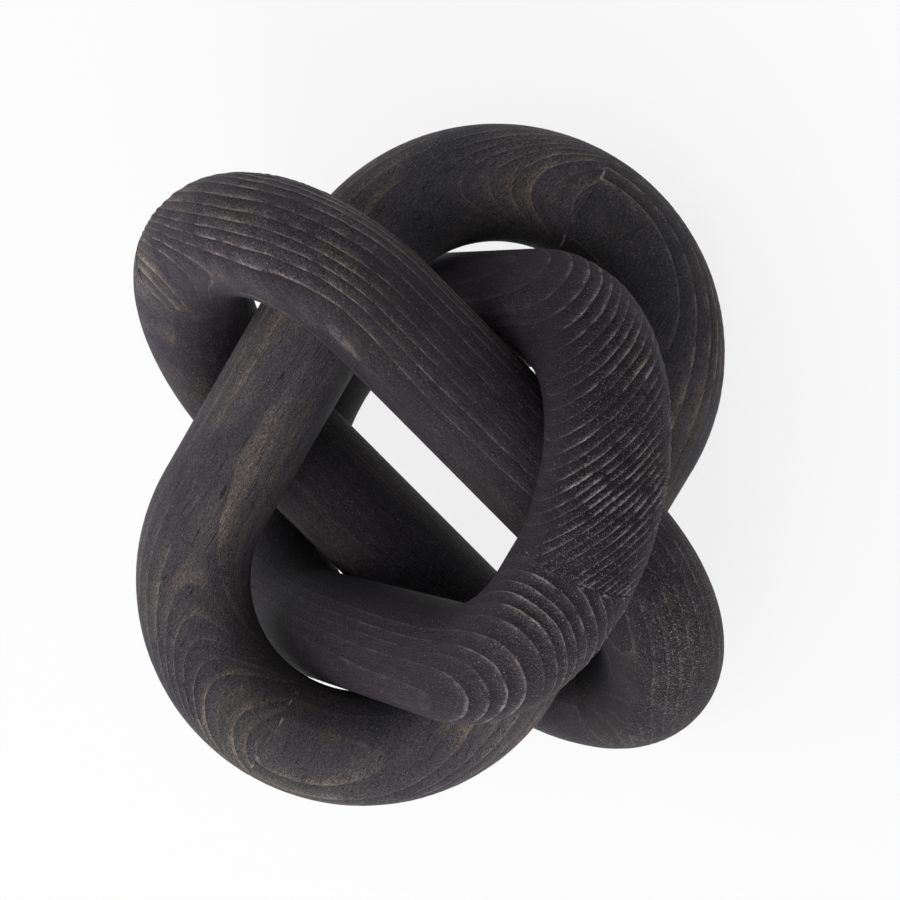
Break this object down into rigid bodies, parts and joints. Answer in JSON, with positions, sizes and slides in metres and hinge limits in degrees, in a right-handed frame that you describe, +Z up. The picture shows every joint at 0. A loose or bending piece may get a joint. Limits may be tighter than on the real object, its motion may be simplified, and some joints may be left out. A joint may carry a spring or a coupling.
{
  "type": "wooden chain link ornament",
  "caption": "Loose wooden chain links of round section, each passed through the hole of the next, lying as a low knot-like heap: a table or shelf ornament.",
  "frame": {"origin": "middle of the underside of the heap's box, on the table", "axes": "+Z up from the table, -Y towards the side that the picture looks at, +X to the right seen from there"},
  "size_m": [0.1618, 0.1634, 0.0982],
  "materials": {
    "link_1_wood": "charcoal stain over brushed softwood, warm",
    "link_2_wood": "charcoal stain over brushed softwood",
    "link_3_wood": "charcoal stain over deeply brushed softwood, cool",
    "dowel_beech": "bare beech, hidden in the glue joints"
  },
  "bodies": {
    "link_1": {"link_1_upper_half": "link_1_wood", "link_1_lower_half": "link_1_wood", "link_1_raised_end_dowel": "dowel_beech", "link_1_resting_end_dowel": "dowel_beech"},
    "link_2": {"link_2_upper_half": "link_2_wood", "link_2_lower_half": "link_2_wood", "link_2_raised_end_dowel": "dowel_beech", "link_2_resting_end_dowel": "dowel_beech"},
    "link_3": {"link_3_upper_half": "link_3_wood", "link_3_lower_half": "link_3_wood", "link_3_raised_end_dowel": "dowel_beech", "link_3_resting_end_dowel": "dowel_beech"}
  },
  "joints": [
    {"name": "link_1_opens", "type": "hinge", "parent": "link_2", "child": "link_1", "pos_m": [0, 0, 0.0485], "axis": [-0.87, -0.493, 0], "range_deg": [0, 48]},
    {"name": "link_3_opens", "type": "hinge", "parent": "link_2", "child": "link_3", "pos_m": [0, 0, 0.0485], "axis": [-0.8883, 0.4592, 0], "range_deg": [0, 48]}
  ],
  "couplings": [
    {"joint": "link_3_opens", "follows": "link_1_opens", "ratio": 1}
  ]
}
